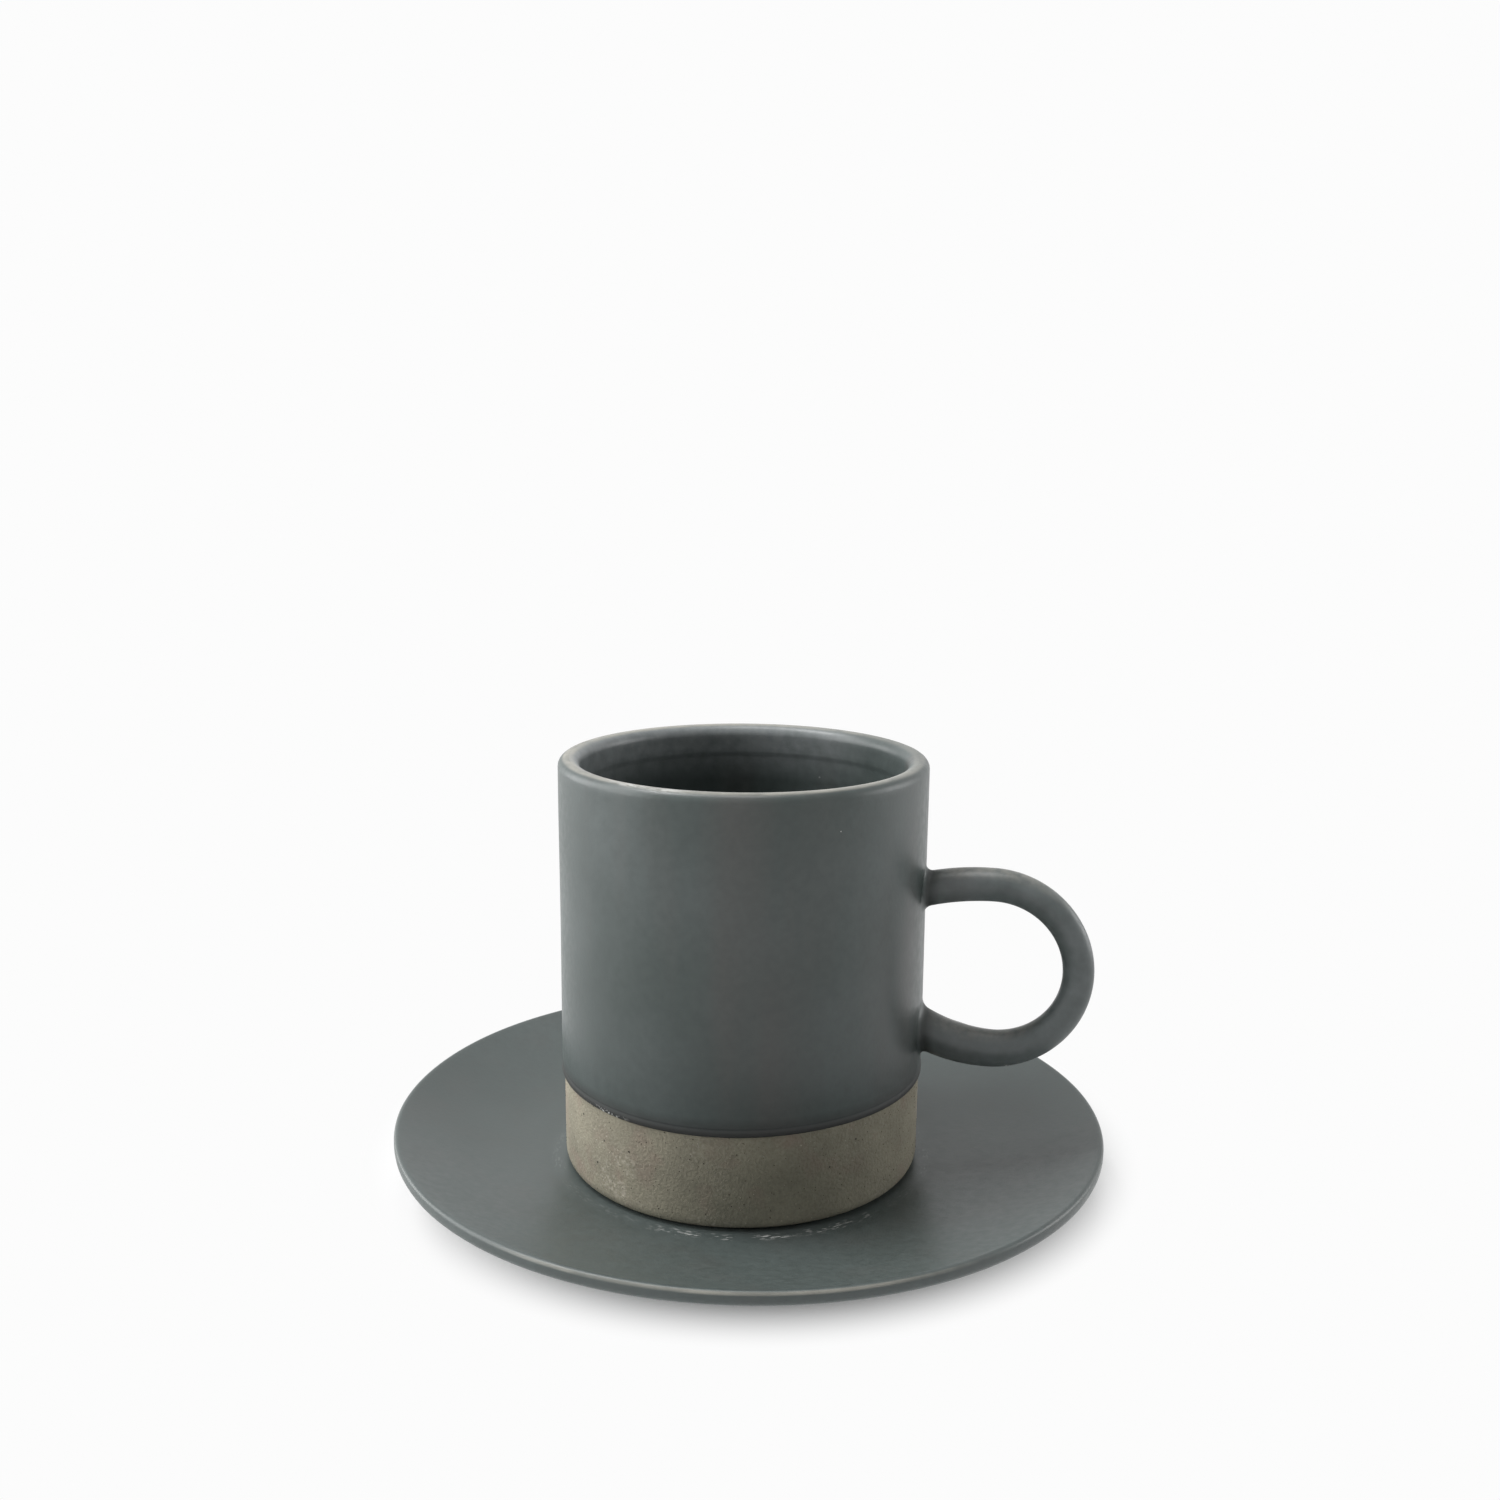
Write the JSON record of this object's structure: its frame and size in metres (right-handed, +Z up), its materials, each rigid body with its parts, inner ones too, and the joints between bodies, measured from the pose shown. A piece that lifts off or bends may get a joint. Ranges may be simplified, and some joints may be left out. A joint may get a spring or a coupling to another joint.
{
  "type": "espresso cup with saucer",
  "caption": "Round straight-sided stoneware cup with a round loop handle and a bare clay foot band, standing in the shallow well of a dished saucer.",
  "frame": {"origin": "on the cup's axis, on the surface that the saucer's foot ring stands on", "axes": "+Z up along the axis of cup and saucer, +X from the axis towards the handle, +Y to the handle's left seen from above the cup looking along +X"},
  "size_m": [0.1172, 0.1172, 0.0737],
  "materials": {
    "clay": "bare fired stoneware, fine grained and matte",
    "glaze": "slate grey satin glaze"
  },
  "bodies": {
    "saucer": {"saucer_body": "clay", "saucer_glaze": "glaze"},
    "cup": {"cup_body": "clay", "cup_handle": "clay", "cup_glaze": "glaze"}
  },
  "joints": [
    {"name": "cup_lift", "type": "slide", "parent": "saucer", "child": "cup", "axis": [0, 0, 1], "range_m": [0, 0.1]}
  ]
}
